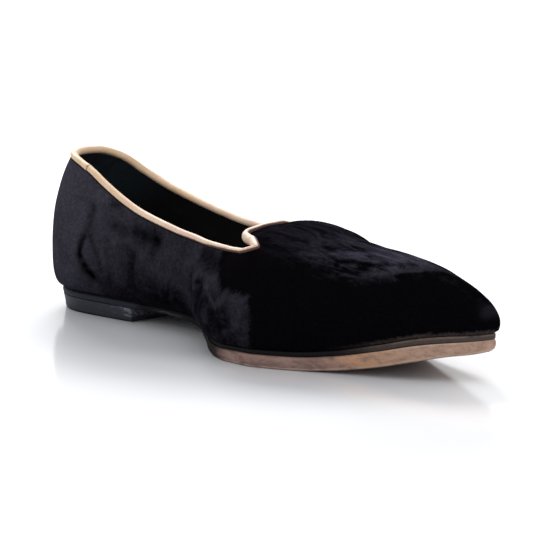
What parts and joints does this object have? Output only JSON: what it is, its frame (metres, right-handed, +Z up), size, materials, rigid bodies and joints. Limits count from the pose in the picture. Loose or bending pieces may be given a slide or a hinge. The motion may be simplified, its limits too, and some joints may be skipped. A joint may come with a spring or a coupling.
{
  "type": "velvet loafer",
  "caption": "Low slipper-style loafer with a notched throat tab, a rolled leather topline piping, a leather sole with an arch and toe spring, and a low stacked heel.",
  "frame": {"origin": "on the ground under the middle of the shoe's length and width", "axes": "+Y from the toe towards the heel, so the toe points to -Y; +X to the outer side of the left foot; +Z up"},
  "size_m": [0.0904, 0.266, 0.0719],
  "materials": {
    "velvet": "black cotton velvet with a short crushed pile",
    "piping_leather": "smooth tan leather, rolled and edge stitched",
    "sock_lining": "dark teal-black sock and lining, matt",
    "welt_leather": "dark dyed leather rand, semi-matt",
    "sole_leather": "brown burnished sole leather, semi-gloss edge that is black along the waist and heel",
    "heel_paint": "black edge paint on stacked leather, glossy",
    "top_piece_rubber": "black rubber, matt, lightly worn"
  },
  "bodies": {
    "root": {"upper": "velvet", "topline_piping": "piping_leather", "insole": "sock_lining", "welt": "welt_leather", "outsole": "sole_leather", "heel_block": "heel_paint", "heel_top_piece": "top_piece_rubber"}
  },
  "joints": []
}
